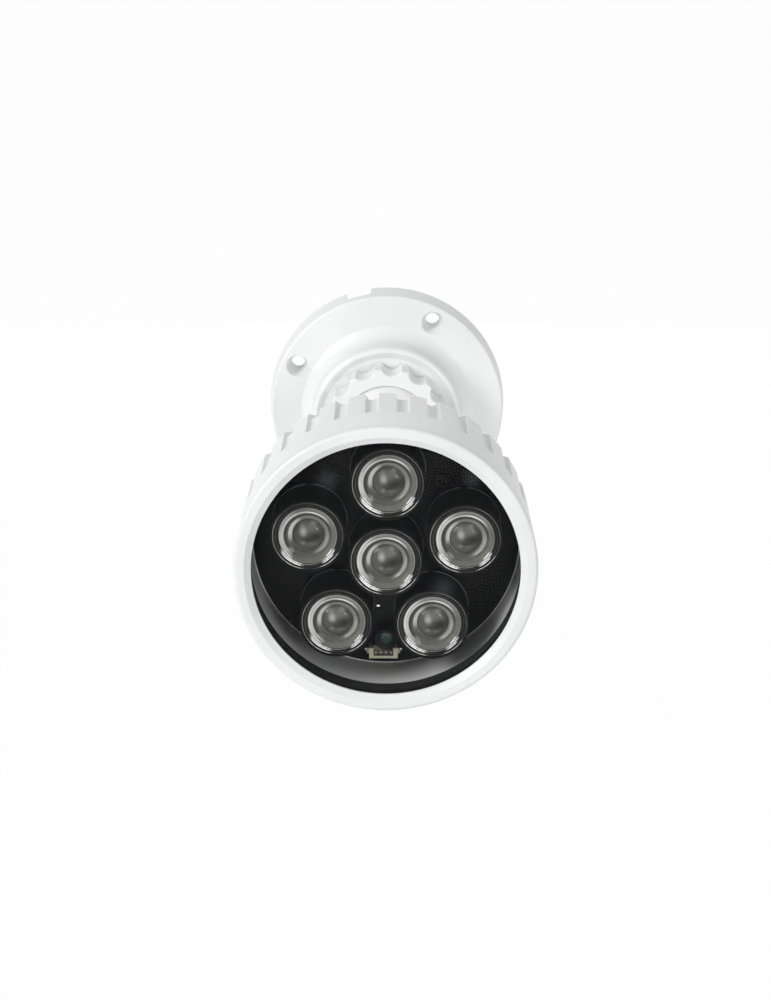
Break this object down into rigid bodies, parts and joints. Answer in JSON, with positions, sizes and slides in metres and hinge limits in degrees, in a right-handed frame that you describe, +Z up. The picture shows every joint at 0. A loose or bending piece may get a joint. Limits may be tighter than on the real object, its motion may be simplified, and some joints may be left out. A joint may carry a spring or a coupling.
{
  "type": "infrared illuminator",
  "caption": "Infrared lamp with a finned round head, stepped lenses behind flat glass and a dusk sensor, on a clamped ball joint over a round wall bracket.",
  "frame": {"origin": "centre of the wall plate's back face, which is also the centre of its four screw holes", "axes": "+Z up the wall, +Y into the wall, -Y out of the wall along the lamp's axis, +X to the right seen from in front"},
  "size_m": [0.0848, 0.1673, 0.0848],
  "materials": {
    "white_bracket": "satin",
    "white_head": "satin",
    "white_stem": "satin",
    "zinc_steel": "satin",
    "black_steel": "satin",
    "bare_aluminium": "satin",
    "clear_glass": "gloss",
    "clear_lens": "gloss",
    "emitter_package": "gloss",
    "black_plastic": "matte",
    "black_rubber": "matte",
    "black_board": "satin",
    "green_board": "satin",
    "chip_white": "matte",
    "cell_face": "gloss",
    "socket_beige": "matte",
    "tinned_contacts": "satin",
    "nylon": "matte",
    "coil": "matte",
    "can": "satin"
  },
  "bodies": {
    "wall_bracket": {"wall_base": "white_bracket"},
    "ring": {"lock_ring": "white_bracket"},
    "swivel": {"ball_seat": "nylon"},
    "stem": {"ball_stem": "white_stem", "stem_nut": "zinc_steel", "stem_washer": "zinc_steel"},
    "head": {"rear_housing": "white_head", "lead_gland": "black_rubber", "front_bezel": "white_head", "front_glass": "clear_glass", "glass_gasket": "black_rubber", "heat_plate": "bare_aluminium", "plate_screws": "zinc_steel", "led_board": "black_board", "board_screws": "black_steel", "board_chip": "chip_white", "emitter_1": "emitter_package", "emitter_2": "emitter_package", "emitter_3": "emitter_package", "emitter_4": "emitter_package", "emitter_5": "emitter_package", "emitter_6": "emitter_package", "lens_holder_1": "black_plastic", "lens_holder_2": "black_plastic", "lens_holder_3": "black_plastic", "lens_holder_4": "black_plastic", "lens_holder_5": "black_plastic", "lens_holder_6": "black_plastic", "lens_1": "clear_lens", "lens_2": "clear_lens", "lens_3": "clear_lens", "lens_4": "clear_lens", "lens_5": "clear_lens", "lens_6": "clear_lens", "photocell": "cell_face", "photocell_sleeve": "black_plastic", "board_connector": "socket_beige", "connector_contacts": "tinned_contacts", "driver_board": "green_board", "board_spacers": "tinned_contacts", "spacer_screws": "zinc_steel", "driver_inductor": "coil", "driver_capacitor": "can", "driver_chips": "black_plastic", "feed_header": "tinned_contacts"}
  },
  "joints": [
    {"name": "lock_ring_turn", "type": "hinge", "parent": "wall_bracket", "child": "ring", "pos_m": [0, -0.0277, 0], "axis": [0, 1, 0], "range_deg": [0, 360]},
    {"name": "bracket_swivel", "type": "hinge", "parent": "wall_bracket", "child": "swivel", "pos_m": [0, -0.0277, 0], "axis": [0, 1, 0], "range_deg": [-180, 180]},
    {"name": "bracket_tilt", "type": "hinge", "parent": "swivel", "child": "stem", "pos_m": [0, -0.0277, 0], "axis": [1, 0, 0], "range_deg": [-40, 40]},
    {"name": "head_roll", "type": "hinge", "parent": "stem", "child": "head", "pos_m": [0, -0.0686, 0], "axis": [0, 1, 0], "range_deg": [-180, 180]}
  ]
}
